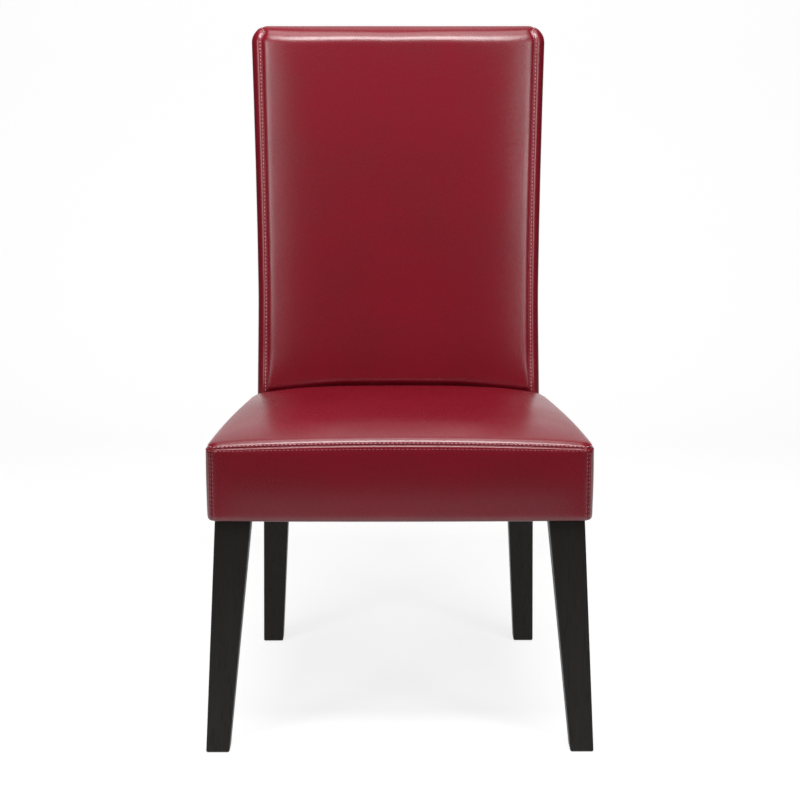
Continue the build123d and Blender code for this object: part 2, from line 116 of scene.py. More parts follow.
def addNode(tree, kind, **values):
    node = tree.nodes.new("ShaderNode" + kind)
    for key, value in values.items():
        if key.startswith("in_"):
            node.inputs[int(key[3:])].default_value = value
        else:
            setattr(node, key, value)
    return node


def mathNode(tree, operation, first, second=None, third=None):
    node = addNode(tree, "Math", operation=operation)
    for index, value in enumerate((first, second, third)):
        if value is None:
            continue
        if isinstance(value, (int, float)):
            node.inputs[index].default_value = value
        else:
            tree.links.new(value, node.inputs[index])
    return node.outputs[0]


def rangeNode(tree, value, fromLow, fromHigh, toLow, toHigh):
    node = addNode(tree, "MapRange", in_1=fromLow, in_2=fromHigh, in_3=toLow, in_4=toHigh)
    tree.links.new(value, node.inputs[0])
    return node.outputs[0]


def noiseNode(tree, vector, scale, detail=3.0, roughness=0.5):
    node = addNode(tree, "TexNoise")
    node.inputs["Detail"].default_value = detail
    node.inputs["Roughness"].default_value = roughness
    if isinstance(scale, (int, float)):
        node.inputs["Scale"].default_value = scale
    else:
        tree.links.new(scale, node.inputs["Scale"])
    tree.links.new(vector, node.inputs["Vector"])
    return node.outputs["Fac"]


def mixColours(tree, factor, first, second):
    node = addNode(tree, "Mix", data_type="RGBA")
    tree.links.new(factor, node.inputs["Factor"])
    for socket, value in ((node.inputs[6], first), (node.inputs[7], second)):
        if isinstance(value, tuple):
            socket.default_value = value
        else:
            tree.links.new(value, socket)
    return node.outputs[2]


toneForm = {"cloudShare": 0.65, "fleckShare": 0.35, "contrast": (0.36, 0.64)}


def makeToneGroup():
    # two tones drift over a surface in broad clouds and fine flecks
    group, given = newGroup(
        "surfaceTone",
        {"Vector": "Vector", "Light Tone": "Color", "Dark Tone": "Color",
         "Cloud Scale": "Float", "Fleck Scale": "Float"},
        {"Color": "Color", "Mask": "Float"})
    clouds = noiseNode(group, given["Vector"], given["Cloud Scale"], detail=4.0, roughness=0.55)
    flecks = noiseNode(group, given["Vector"], given["Fleck Scale"], detail=2.0)
    clouds = mathNode(group, "MULTIPLY", clouds, toneForm["cloudShare"])
    blend = mathNode(group, "MULTIPLY_ADD", flecks, toneForm["fleckShare"], clouds)
    mask = rangeNode(group, blend, *toneForm["contrast"], 0.0, 1.0)
    colour = mixColours(group, mask, given["Light Tone"], given["Dark Tone"])
    return endGroup(group, Color=colour, Mask=mask)


pebbleForm = {
    "warpScale": 240.0,
    "warp": 0.0011,
    "domeWidth": 0.32,
    "domePower": 0.6,
    "fineScale": 1900.0,
    "fineShare": 0.35,
    "valleyWidth": 0.09,
}


def makePebbleGroup():
    # pebbled hide: rounded cells with fine valleys between them, broken up by pores
    p = pebbleForm
    group, given = newGroup(
        "hidePebble", {"Vector": "Vector", "Cell Scale": "Float"}, {"Height": "Float", "Valley": "Float"})
    vector = given["Vector"]
    warp = addNode(group, "TexNoise")
    warp.inputs["Scale"].default_value = p["warpScale"]
    group.links.new(vector, warp.inputs["Vector"])
    push = addNode(group, "VectorMath", operation="MULTIPLY_ADD")
    push.inputs[1].default_value = (p["warp"], p["warp"], p["warp"])
    group.links.new(warp.outputs["Color"], push.inputs[0])
    group.links.new(vector, push.inputs[2])
    cells = addNode(group, "TexVoronoi", feature="DISTANCE_TO_EDGE")
    group.links.new(push.outputs[0], cells.inputs["Vector"])
    group.links.new(given["Cell Scale"], cells.inputs["Scale"])
    dome = rangeNode(group, cells.outputs["Distance"], 0.0, p["domeWidth"], 0.0, 1.0)
    dome = mathNode(group, "POWER", dome, p["domePower"])
    fine = noiseNode(group, vector, p["fineScale"], detail=2.0, roughness=0.6)
    height = mathNode(group, "MULTIPLY_ADD", fine, p["fineShare"], dome)
    valley = rangeNode(group, cells.outputs["Distance"], 0.0, p["valleyWidth"], 1.0, 0.0)
    return endGroup(group, Height=height, Valley=valley)


grainForm = {"bands": 9.0, "poreScale": 420.0, "poreEdge": (0.56, 0.68)}


def makeGrainGroup():
    # wood grain that runs along one axis: growth bands with pores drawn out along them
    group, given = newGroup(
        "woodGrain", {"Vector": "Vector", "Band Scale": "Float"}, {"Band": "Float", "Pore": "Float"})
    band = noiseNode(group, given["Vector"], given["Band Scale"], detail=4.0, roughness=0.6)
    band = mathNode(group, "PINGPONG", mathNode(group, "MULTIPLY", band, grainForm["bands"]), 1.0)
    pore = noiseNode(group, given["Vector"], grainForm["poreScale"], detail=2.0, roughness=0.6)
    pore = rangeNode(group, pore, *grainForm["poreEdge"], 0.0, 1.0)
    return endGroup(group, Band=band, Pore=pore)


weaveForm = {"rise": 0.3, "level": 0.7, "gap": (0.25, 0.6)}


def makeWeaveGroup():
    # plain weave from two crossed sets of ribs
    group, given = newGroup(
        "plainWeave", {"Vector": "Vector", "Thread Scale": "Float"}, {"Height": "Float", "Gap": "Float"})
    split = addNode(group, "SeparateXYZ")
    group.links.new(given["Vector"], split.inputs[0])
    waves = []
    for axis in ("X", "Y"):
        turns = mathNode(group, "MULTIPLY", split.outputs[axis], given["Thread Scale"])
        waves.append(mathNode(group, "SINE", mathNode(group, "MULTIPLY", turns, math.pi)))
    ribs = []
    for wave, crossWave in (waves, waves[::-1]):
        over = mathNode(group, "MULTIPLY_ADD", crossWave, weaveForm["rise"], weaveForm["level"])
        ribs.append(mathNode(group, "MULTIPLY", mathNode(group, "ABSOLUTE", wave), over))
    height = mathNode(group, "MAXIMUM", *ribs)
    return endGroup(group, Height=height, Gap=rangeNode(group, height, *weaveForm["gap"], 1.0, 0.0))


toneGroup = makeToneGroup()
pebbleGroup = makePebbleGroup()
grainGroup = makeGrainGroup()
weaveGroup = makeWeaveGroup()


def groupNode(tree, group, vector, **values):
    node = tree.nodes.new("ShaderNodeGroup")
    node.node_tree = group
    tree.links.new(vector, node.inputs["Vector"])
    for key, value in values.items():
        node.inputs[key.replace("_", " ")].default_value = value
    return node


def stretched(tree, place, scale):
    node = addNode(tree, "Mapping")
    node.inputs["Scale"].default_value = scale
    tree.links.new(place, node.inputs["Vector"])
    return node.outputs[0]


def startMaterial(name, look):
    # a material with its places, drawn out along the grain where there is one, and its two tones
    material = bpy.data.materials.new(name)
    material.use_nodes = True
    tree = material.node_tree
    shader = tree.nodes["Principled BSDF"]
    shader.inputs["Roughness"].default_value = look["roughness"]
    shader.inputs["Specular IOR Level"].default_value = look["specular"]
    place = addNode(tree, "TexCoord").outputs["Object"]
    if "stretch" in look:
        place = stretched(tree, place, look["stretch"])
    tone = groupNode(tree, toneGroup, place, Light_Tone=look["light"], Dark_Tone=look["dark"],
                     Cloud_Scale=look["clouds"], Fleck_Scale=look["flecks"])
    return material, tree, shader, place, tone.outputs["Color"], tone.outputs["Mask"]


def shareOf(tree, value, share, first, second):
    # a colour that gives way to another where the value is high, up to the share
    return mixColours(tree, mathNode(tree, "MULTIPLY", value, share), first, second)


def unevenRoughness(tree, mask, look):
    smooth, rough = look["uneven"]
    return rangeNode(tree, mask, 0.0, 1.0, look["roughness"] - smooth, look["roughness"] + rough)


def paint(tree, shader, colour, rough=None):
    tree.links.new(colour, shader.inputs["Base Color"])
    if rough is not None:
        tree.links.new(rough, shader.inputs["Roughness"])


def bump(tree, shader, height, look):
    node = addNode(tree, "Bump")
    node.inputs["Strength"].default_value = look["bump"]
    node.inputs["Distance"].default_value = look["bumpDepth"]
    tree.links.new(height, node.inputs["Height"])
    tree.links.new(node.outputs[0], shader.inputs["Normal"])


leatherLook = {
    "light": (0.228, 0.0072, 0.0190, 1),
    "dark": (0.180, 0.0040, 0.0122, 1),
    "valleyTone": (0.115, 0.0030, 0.0075, 1),
    "clouds": 7.0,
    "flecks": 420.0,
    "cellScale": 640.0,
    "valleyShare": 0.55,
    "roughness": 0.28,
    "uneven": (0.065, 0.0),
    "valleyRoughness": 0.10,
    "specular": 0.5,
    "facingBlend": 0.5,
    "glancing": (0.5, 0.8),
    "shine": (0.72, 0.10),
    "foldStretch": (1.0, 1.0, 1.4),
    "foldScale": 46.0,
    "foldShare": 1.6,
    "bump": 0.55,
    "bumpDepth": 0.00004,
}


def makeLeather(name):
    look = leatherLook
    material, tree, shader, place, colour, mask = startMaterial(name, look)
    pebble = groupNode(tree, pebbleGroup, place, Cell_Scale=look["cellScale"])
    valley = pebble.outputs["Valley"]
    colour = shareOf(tree, valley, look["valleyShare"], colour, look["valleyTone"])
    rough = unevenRoughness(tree, mask, look)
    paint(tree, shader, colour, mathNode(tree, "MULTIPLY_ADD", valley, look["valleyRoughness"], rough))
    facing = addNode(tree, "LayerWeight", in_0=look["facingBlend"]).outputs["Facing"]
    shine = rangeNode(tree, facing, *look["glancing"], *look["shine"])
    tree.links.new(shine, shader.inputs["Specular IOR Level"])
    folds = noiseNode(tree, stretched(tree, place, look["foldStretch"]), look["foldScale"])
    height = mathNode(tree, "MULTIPLY_ADD", folds, look["foldShare"], pebble.outputs["Height"])
    bump(tree, shader, height, look)
    return material


threadLook = {
    "roughness": 0.42, "specular": 0.5, "clouds": 60.0, "flecks": 900.0, "twistScale": 900.0,
    "bump": 0.4, "bumpDepth": 0.0001,
}


def makeThread(name, **values):
    look = {**threadLook, **values}
    material, tree, shader, place, colour, mask = startMaterial(name, look)
    paint(tree, shader, colour)
    twist = addNode(tree, "TexWave", wave_type="BANDS", bands_direction="DIAGONAL")
    twist.inputs["Scale"].default_value = look["twistScale"]
    tree.links.new(place, twist.inputs["Vector"])
    bump(tree, shader, twist.outputs["Fac"], look)
    return material


woodLook = {
    "specular": 0.4, "clouds": 14.0, "flecks": 160.0, "bandShare": 0.45, "poreShare": 0.6,
    "uneven": (0.04, 0.05), "poreRoughness": 0.18, "bandHeight": 0.3, "bump": 0.35,
}


def makeWood(name, **values):
    look = {**woodLook, **values}
    material, tree, shader, place, colour, mask = startMaterial(name, look)
    grain = groupNode(tree, grainGroup, place, Band_Scale=look["bandScale"])
    band, pore = grain.outputs["Band"], grain.outputs["Pore"]
    colour = shareOf(tree, band, look["bandShare"], colour, look["dark"])
    colour = shareOf(tree, pore, look["poreShare"], colour, look["poreTone"])
    rough = unevenRoughness(tree, mask, look)
    paint(tree, shader, colour, mathNode(tree, "MULTIPLY_ADD", pore, look["poreRoughness"], rough))
    height = mathNode(tree, "MULTIPLY", band, look["bandHeight"])
    bump(tree, shader, mathNode(tree, "MULTIPLY_ADD", pore, -1.0, height), look)
    return material


clothLook = {
    "specular": 0.2, "clouds": 18.0, "flecks": 700.0, "gapShare": 0.7, "uneven": (0.06, 0.06), "bump": 0.6,
}


def makeCloth(name, **values):
    look = {**clothLook, **values}
    material, tree, shader, place, colour, mask = startMaterial(name, look)
    weave = groupNode(tree, weaveGroup, place, Thread_Scale=look["threadScale"])
    colour = shareOf(tree, weave.outputs["Gap"], look["gapShare"], colour, look["gapTone"])
    paint(tree, shader, colour, unevenRoughness(tree, mask, look))
    bump(tree, shader, weave.outputs["Height"], look)
    return material


foamLook = {
    "roughness": 0.9, "specular": 0.15, "clouds": 10.0, "flecks": 500.0, "cellShare": 0.4, "bump": 0.5,
}


def makeFoam(name, **values):
    look = {**foamLook, **values}
    material, tree, shader, place, colour, mask = startMaterial(name, look)
    pebble = groupNode(tree, pebbleGroup, place, Cell_Scale=look["cellScale"])
    paint(tree, shader, shareOf(tree, pebble.outputs["Valley"], look["cellShare"], colour, look["dark"]))
    bump(tree, shader, pebble.outputs["Height"], look)
    return material


plainLook = {
    "specular": 0.5, "clouds": 40.0, "flecks": 600.0, "uneven": (0.06, 0.08), "metallic": 0.0,
    "bump": 0.3, "bumpDepth": 0.00005,
}


def makePlain(name, **values):
    look = {**plainLook, **values}
    material, tree, shader, place, colour, mask = startMaterial(name, look)
    paint(tree, shader, colour, unevenRoughness(tree, mask, look))
    shader.inputs["Metallic"].default_value = look["metallic"]
    bump(tree, shader, mask, look)
    return material


leather = makeLeather("redLeather")
# one thread in two copies: the pink one is the thread's colour lightened with a painted highlight, the red
# one is the same thread darkened as painted shade for rows in shadow
thread = makeThread("pinkThread", light=(0.72, 0.34, 0.37, 1), dark=(0.60, 0.22, 0.25, 1))
shadedThread = makeThread("paintedShadeThread", light=(0.40, 0.08, 0.10, 1), dark=(0.31, 0.05, 0.065, 1))
darkWood = makeWood(
    "espressoWood", light=(0.0150, 0.0120, 0.0098, 1), dark=(0.0100, 0.0080, 0.0066, 1),
    poreTone=(0.0045, 0.0036, 0.0030, 1), roughness=0.44, stretch=(1.0, 1.0, 0.09), bandScale=55.0,
    bumpDepth=0.00005, specular=0.22)
railWood = makeWood(
    "beechWood", light=(0.56, 0.40, 0.24, 1), dark=(0.44, 0.29, 0.16, 1), poreTone=(0.28, 0.17, 0.09, 1),
    roughness=0.62, stretch=(0.09, 0.5, 1.0), bandScale=45.0, bumpDepth=0.00008)
hardboard = makePlain(
    "pressedBoard", light=(0.24, 0.135, 0.066, 1), dark=(0.16, 0.085, 0.04, 1), roughness=0.72, flecks=260.0)
foam = makeFoam(
    "seatFoam", light=(0.80, 0.73, 0.52, 1), dark=(0.66, 0.58, 0.38, 1), cellScale=420.0, bumpDepth=0.0006)
wadding = makeFoam(
    "fibreWadding", light=(0.86, 0.86, 0.84, 1), dark=(0.74, 0.74, 0.72, 1), cellScale=160.0,
    bumpDepth=0.0012)
webCloth = makeCloth(
    "juteWebbing", light=(0.36, 0.26, 0.14, 1), dark=(0.26, 0.18, 0.09, 1), gapTone=(0.12, 0.08, 0.04, 1),
    roughness=0.85, threadScale=420.0, bumpDepth=0.0004)
dustCloth = makeCloth(
    "blackCambric", light=(0.016, 0.016, 0.017, 1), dark=(0.010, 0.010, 0.011, 1),
    gapTone=(0.004, 0.004, 0.004, 1), roughness=0.8, threadScale=620.0, bumpDepth=0.0002)
nylon = makePlain("blackNylon", light=(0.022, 0.022, 0.022, 1), dark=(0.015, 0.015, 0.015, 1), roughness=0.5)
steel = makePlain(
    "platedSteel", light=(0.62, 0.56, 0.40, 1), dark=(0.5, 0.45, 0.33, 1), roughness=0.34, metallic=1.0,
    flecks=900.0)
stapleWire = makePlain(
    "stapleWire", light=(0.60, 0.60, 0.61, 1), dark=(0.46, 0.46, 0.48, 1), roughness=0.32, metallic=1.0,
    flecks=900.0)
print("materials made:", len(bpy.data.materials))

corners = [(end, side) for end in ("front", "rear") for side in ("left", "right")]
nodeFinishes = [
    (darkWood, [f"{end}_leg_{side}" for end, side in corners]),
    (nylon, [f"{end}_glide_{side}" for end, side in corners]),
    (railWood, [f"corner_block_{end}_{side}" for end, side in corners]),
    (railWood, ["front_rail", "rear_rail", "side_rail_left", "side_rail_right"]),
    (railWood, ["crest_rail", "low_back_rail", "frame_dowels"]),
    (hardboard, ["back_board"]),
    (webCloth, ["seat_webbing", "back_webbing"]),
    (steel, ["corner_block_screws"]),
]
for material, names in nodeFinishes:
    for name in names:
        nodes[name].data.materials.clear()
        nodes[name].data.materials.append(material)


# Block forms: a cube cut into strips, whose lines move to set places, then rounded and bent to shape

class Block:
    def __init__(self, columns, rows, levels, step):
        self.lines = [lineList(line, step) for line in (columns, rows, levels)]
        self.last = [len(line) - 1 for line in self.lines]
        self.bm = bmesh.new()
        bmesh.ops.create_cube(self.bm, size=2)
        for axis, end in enumerate(self.last):
            uncut = [e for e in self.bm.edges if abs(e.verts[0].co[axis] - e.verts[1].co[axis]) > 1]
            bmesh.ops.subdivide_edges(self.bm, edges=uncut, cuts=end - 1)
        self.cells, self.flat = {}, {}
        for v in self.bm.verts:
            cell = tuple(round((v.co[axis] + 1) / 2 * end) for axis, end in enumerate(self.last))
            v.co = [line[n] for line, n in zip(self.lines, cell)]
            self.cells[cell] = v
            self.flat[cell] = v.co.copy()

    def nearest(self, axis, value):
        line = self.lines[axis]
        return min(range(len(line)), key=lambda n: abs(line[n] - value))

    def bend(self, shape):
        for v in self.cells.values():
            v.co = shape(*v.co)

    def cut(self, isOpen):
        # takes out the faces that the test picks, and gives the numbers of the points that stay
        gone = [face for face in self.bm.faces if isOpen(face.calc_center_median(), face.normal)]
        bmesh.ops.delete(self.bm, geom=gone, context="FACES")
        live = {cell: v for cell, v in self.cells.items() if v.is_valid}
        self.bm.verts.index_update()
        return {cell: v.index for cell, v in live.items()}

    def makePiece(self, name, material):
        for v in self.bm.verts:
            v.co = v.co * mm + Vector((0, frontLine, 0))
        bmesh.ops.recalc_face_normals(self.bm, faces=self.bm.faces)
        return newObject(name, self.bm, material)


def roundEdge(inset, drop, radius):
    # both are measured from a sharp edge; near it, the square corner becomes an arc
    if inset >= radius or drop >= radius:
        return inset, drop
    a, b = radius - inset, radius - drop
    scale = max(a, b) / math.hypot(a, b)
    return radius - a * scale, radius - b * scale


def roundRing(x, y, halfX, halfY, inset, newInset, radius):
    # moves a point from one ring inside a rectangle to another, and rounds that ring's corner
    x *= (halfX - newInset) / (halfX - inset)
    y *= (halfY - newInset) / (halfY - inset)
    radius = max(radius - newInset, 0.0)
    cornerX, cornerY = halfX - newInset - radius, halfY - newInset - radius
    overX, overY = abs(x) - cornerX, abs(y) - cornerY
    if overX > 0 and overY > 0:
        scale = max(overX, overY) / math.hypot(overX, overY)
        x = math.copysign(cornerX + overX * scale, x)
        y = math.copysign(cornerY + overY * scale, y)
    return x, y


def isUnderside(middle, normal, hem):
    return normal.z < -0.9 and middle.z < hem + 0.5


def inNotch(middle, notch):
    inner, outer, front, rear = notch
    return inner < abs(middle.x) < outer and front < middle.y < rear


# Sewing and stuffing, for both covers

seamForm = {"lip": 0.8, "rowWidth": 1.3, "rowEdge": 1.6, "swellOut": 5.0, "swellWidth": 3.6, "noSeam": 60.0}


def bell(distance, width):
    return math.exp(-((distance / width) ** 2))


def seamDip(distance, sewing):
    # how far the cover sinks at a seam, at the stitch rows beside it, and how it swells past them
    d = abs(distance)
    offset = sewing["rows"][0 if distance > 0 else 1]
    groove = sewing["groove"] * bell(d, sewing["grooveWidth"])
    row = sewing["rowDip"] * bell(d - offset, seamForm["rowWidth"])
    swell = sewing["swell"] * bell(d - offset - seamForm["swellOut"], seamForm["swellWidth"])
    return swell - groove - row


def seamLines(place, sewing):
    # the lines that a seam needs: its bottom, its lips, its two stitch rows and the swell beside them
    f = seamForm
    lines = [place]
    for side, offset in zip((1, -1), sewing["rows"]):
        between = (f["lip"] + offset) / 2
        steps = (f["lip"], between, offset, offset + f["rowEdge"], offset + f["swellOut"])
        lines += [place + side * d for d in steps]
    return lines


puckers = {"height": 0.08, "out": 9.0, "reach": 7.0}


def sewDown(piece, seams, pins, creases):
    # after the stuffing, the seams sink, the leather puckers beside the first and lies uneven elsewhere
    firstSeam = seams[0][0]
    for v in piece.data.vertices:
        n = v.index
        dip = sum(seamDip(distances[n], sewing) for distances, sewing in seams)
        spot = [v.co[axis] * creases["scale"] for axis in creases["axes"]]
        wave = noise.noise(Vector((*spot, creases["seed"])))
        beside = bell(abs(firstSeam[n]) - puckers["out"], puckers["reach"])
        dip += puckers["height"] * wave * beside
        dip += creases["uneven"] * noise.noise(v.co * creases["unevenScale"]) * (1 - pins[n])
        v.co += v.normal * dip * mm


stuffing = {
    "quality": 4,
    "mass": 0.4,
    "stiffness": 12.0,
    "shearShare": 0.6,
    "bending": 0.8,
    "pressure": 3.0,
    "shrink": -0.004,
    "frames": 16,
    "leastPin": 0.001,
    "leastSwell": -0.3,
    "mostSwell": 3.2,
    "evening": 14,
}


def inflate(piece, pins):
    # the cover is blown up a little between its seams, as the foam inside pushes it out
    s = stuffing
    start = [v.co.copy() for v in piece.data.vertices]
    normals = [v.normal.copy() for v in piece.data.vertices]
    group = piece.vertex_groups.new(name="sewn")
    for index, weight in pins.items():
        if weight > s["leastPin"]:
            group.add([index], weight, "REPLACE")
    modifier = piece.modifiers.new("stuffing", "CLOTH")
    cloth = modifier.settings
    cloth.quality = s["quality"]
    cloth.mass = s["mass"]
    cloth.tension_stiffness = cloth.compression_stiffness = s["stiffness"]
    cloth.shear_stiffness = s["stiffness"] * s["shearShare"]
    cloth.bending_stiffness = s["bending"]
    cloth.use_pressure = True
    cloth.uniform_pressure_force = s["pressure"]
    cloth.shrink_min = cloth.shrink_max = s["shrink"]
    cloth.vertex_group_mass = "sewn"
    cloth.effector_weights.gravity = 0
    modifier.point_cache.frame_start = 1
    modifier.point_cache.frame_end = s["frames"]
    for number in range(1, s["frames"] + 1):
        scene.frame_set(number)
    depsgraph = bpy.context.evaluated_depsgraph_get()
    swollen = [v.co.copy() for v in piece.evaluated_get(depsgraph).data.vertices]
    piece.modifiers.remove(modifier)
    piece.vertex_groups.remove(group)
    scene.frame_set(1)
    least, most = s["leastSwell"] * mm, s["mostSwell"] * mm
    swells = [min(max((b - a).dot(n), least), most) for a, b, n in zip(start, swollen, normals)]
    joined = [[] for _ in swells]
    for edge in piece.data.edges:
        a, b = edge.vertices
        joined[a].append(b)
        joined[b].append(a)
    for _ in range(s["evening"]):
        swells = [(own + sum(swells[n] for n in near) / len(near)) / 2 for own, near in zip(swells, joined)]
    for v, before, normal, swell in zip(piece.data.vertices, start, normals, swells):
        v.co = before + normal * swell
    print("  inflated", piece.name, "by up to", round(max(swells) / mm, 2), "mm")


# Seat cover: one crowned form of leather, open underneath round the rails

seatCover = {
    "halfWidth": 259.0,
    "depth": 432.0,
    "rearHalf": 218.0,
    "sideDraw": 3.0,
    "hem": 327.0,
    "seam": 433.2,
    "top": 439.0,
    "rearTuck": 396.0,
    "cornerRadius": 18.0,
    "edgeRadius": 12.0,
    "hemRadius": 5.0,
    "liftFrom": 413.0,
    "crown": 444.5,
    "crownFrom": 180.0,
    "crownAlong": 2740.0,
    "crownAcross": 4500.0,
    "puff": 6.0,
    "puffReach": 20.0,
    "puffFade": (0.4, 1.0),
    "rearDrop": 7.0,
    "rearDropAlong": (0.86, 1.0),
    "rearDropAcross": (0.35, 1.0),
    "rearDropUp": (387.0, 427.0),
    "sideFall": 4.6,
    "sideFallAlong": (0.12, 0.85),
    "sideFallAcross": (0.6, 1.0),
    "frontBow": 4.0,
    "frontBowFade": (0.0, 0.4),
    "backBow": 10.0,
    "backBowAlong": (0.6, 1.0),
    "sideReach": 9.0,
    "sideReachAlong": (0.93, 1.0),
    "sideReachAcross": (0.9, 0.98),
    "sideReachFade": (405.0, 424.0),
    "cornerSeam": 250.6,
    "cornerSeamEnd": 1.0,
    "legNotch": (197.6, 247.4, 9.3, 55.6),
    "hemReturn": 14.0,
    "hemEnd": 4.0,
    "rearOpen": (13.5, 216.0),
    "step": 9.5,
    "sideLines": (0, 1.6, 19),
    "frontLines": (0, 2.5, 5.5, 8.5, 12, 17, 24, 55.5),
    "rearLines": (0, 5, 10, 18),
    "hemLines": (0, 1.6, 5, 12),
    "clearOfSide": 2.0,
    "clearOfTop": 1.0,
    "clearOfRow": 2.0,
    "hemPin": (4.0, 26.0),
    "rearPin": (-30.0, -8.0),
    "seamPin": (1.0, 7.0),
    "cornerPin": (1.0, 6.0),
    "sewing": {"groove": 1.9, "grooveWidth": 0.9, "rowDip": 0.3, "rows": (2.8, 6.4), "swell": 0.15},
    "cornerSewing": {"groove": 1.2, "grooveWidth": 0.9, "rowDip": 0.35, "rows": (2.6, 2.6), "swell": 0.4},
    "creases": {"axes": (0, 1), "scale": 75.0, "seed": 3.0, "uneven": 0.2, "unevenScale": 16.0},
    "leather": 1.3,
}


def seatHalf(y):
    share = y / seatCover["depth"]
    taper = seatCover["halfWidth"] + (seatCover["rearHalf"] - seatCover["halfWidth"]) * share
    return taper - seatCover["sideDraw"] * 4 * share * (1 - share)


def shapeSeat(x, y, z):
    # from the sharp block to the rounded, tapered and crowned seat, in millimetres
    c = seatCover
    halfX, halfY = c["halfWidth"], c["depth"] / 2
    y -= halfY
    inset = min(halfX - abs(x), halfY - abs(y))
    newInset, drop = roundEdge(inset, c["top"] - z, c["edgeRadius"])
    z = c["top"] - drop
    if newInset == inset:
        newInset, rise = roundEdge(inset, z - c["hem"], c["hemRadius"])
        z = c["hem"] + rise
    if inset < c["cornerRadius"]:
        radius = c["cornerRadius"] if y < 0 else c["edgeRadius"] / 2
        x, y = roundRing(x, y, halfX, halfY, inset, newInset, radius)
    y += halfY
    share = y / c["depth"]
    across = x / halfX
    aside = abs(across)
    x = across * seatHalf(y)

    # the top is crowned, puffed up inside its seam, and drops towards the sides at the rear
    crown = c["crown"] - (y - c["crownFrom"]) ** 2 / (2 * c["crownAlong"]) - x * x / (2 * c["crownAcross"])
    lift = smoothStep(c["liftFrom"], c["top"], z)
    puff = c["puff"] * (1 - smoothStep(*c["puffFade"], share))
    for inward in (seatHalf(y) - abs(x), y):
        puff *= 1 - math.exp(-max(inward, 0.0) / c["puffReach"])
    z += lift * (crown + puff - c["top"])
    rearDrop = smoothStep(*c["rearDropAlong"], share) * smoothStep(*c["rearDropAcross"], aside)
    z -= c["rearDrop"] * rearDrop * smoothStep(*c["rearDropUp"], z)
    sideFall = smoothStep(*c["sideFallAlong"], share) * smoothStep(*c["sideFallAcross"], aside)
    z -= c["sideFall"] * lift * sideFall

    # the front bows out, the rear edge bows in, and the sides reach into the back below the seam
    y += c["frontBow"] * across ** 2 * (1 - smoothStep(*c["frontBowFade"], share))
    y -= c["backBow"] * (1 - across ** 2) * smoothStep(*c["backBowAlong"], share)
    sideReach = smoothStep(*c["sideReachAlong"], share) * smoothStep(*c["sideReachAcross"], aside)
    y += c["sideReach"] * sideReach * (1 - smoothStep(*c["sideReachFade"], z))
    return Vector((x, y, z))


def makeSeatCover():
    c = seatCover
    openDepth, openHalf = c["rearOpen"]
    outermost = c["halfWidth"] - c["clearOfSide"]
    halfLines = [v for v in seamLines(c["cornerSeam"], c["cornerSewing"]) if v < outermost]
    halfLines += [c["halfWidth"] - inset for inset in c["sideLines"]] + [c["legNotch"][0], 0.0]
    columns = [side * v for side in (1, -1) for v in halfLines]
    rows = list(c["frontLines"]) + [c["depth"] - inset for inset in c["rearLines"]]
    levels = [c["hem"] + rise for rise in c["hemLines"]] + [c["rearTuck"], c["top"]]
    levels += [v for v in seamLines(c["seam"], c["sewing"]) if v < c["top"] - c["clearOfTop"]]
    block = Block(columns, rows, levels, c["step"])
    block.bend(shapeSeat)

    def isOpen(middle, normal):
        # the underside is open inside the hem's return, round the legs and past the rear end,
        # and the rear is open below the tuck
        inside = min(seatHalf(middle.y) - abs(middle.x), middle.y) > c["hemReturn"]
        leg = inNotch(middle, c["legNotch"])
        past = middle.y > c["depth"] + c["hemEnd"]
        behind = middle.y > c["depth"] - openDepth and abs(middle.x) < openHalf
        rear = behind and middle.z < c["rearTuck"] and normal.y > 0.3
        return rear or (isUnderside(middle, normal, c["hem"]) and (inside or leg or past))

    index = block.cut(isOpen)
    sideEnd, rearEnd, topEnd = block.last
    pins, seamAt, cornerAt = {}, {}, {}
    for cell, n in index.items():
        x, y, z = block.flat[cell]
        inset = min(c["halfWidth"] - abs(x), y)
        path = c["top"] - c["seam"] + inset if cell[2] == topEnd else z - c["seam"]
        seamAt[n] = path if cell[1] != rearEnd else seamForm["noSeam"]
        onFront = cell[1] == 0 and z < c["seam"] - c["cornerSeamEnd"]
        cornerAt[n] = abs(x) - c["cornerSeam"] if onFront else seamForm["noSeam"]
        hemPin = 1 - smoothStep(*c["hemPin"], z - c["hem"])
        rearPin = smoothStep(*c["rearPin"], y - c["depth"])
        seamPin = 1 - smoothStep(*c["seamPin"], abs(seamAt[n]))
        cornerPin = 1 - smoothStep(*c["cornerPin"], abs(cornerAt[n]))
        pins[n] = max(hemPin, rearPin, seamPin, cornerPin)
    piece = block.makePiece("seatCover", leather)
    inflate(piece, pins)
    sewDown(piece, [(seamAt, c["sewing"]), (cornerAt, c["cornerSewing"])], pins, c["creases"])

    # stitch rows: above and below the long seam, and on both sides of the corner seams
    seamRows, cornerRows = [], []
    cornerTop = block.nearest(2, c["seam"] - c["sewing"]["rows"][1] - c["clearOfRow"])
    for side, offset, cornerOffset in zip((1, -1), c["sewing"]["rows"], c["cornerSewing"]["rows"]):
        k = block.nearest(2, c["seam"] + side * offset)
        left = [(0, j, k) for j in range(rearEnd - 2, 0, -1)]
        front = [(i, 0, k) for i in range(sideEnd + 1)]
        right = [(sideEnd, j, k) for j in range(1, rearEnd - 1)]
        seamRows.append([index[cell] for cell in left + front + right if cell in index])
        for hand in (1, -1):
            i = block.nearest(0, hand * (c["cornerSeam"] + side * cornerOffset))
            cells = [(i, 0, k) for k in range(2, cornerTop + 1)]
            cornerRows.append([index[cell] for cell in cells if cell in index])
    # the row below the long seam and the corner rows are kept apart, to take the thread darkened as painted
    # shade
    topRow, bandRow = seamRows
    return piece, [topRow], [bandRow] + cornerRows


seatPiece, seatTopRows, seatBandRows = makeSeatCover()
print("seat cover:", len(seatPiece.data.vertices), "points before smoothing")


# Back cover: front and rear panels with narrow sides between the long seams, rolled over the top

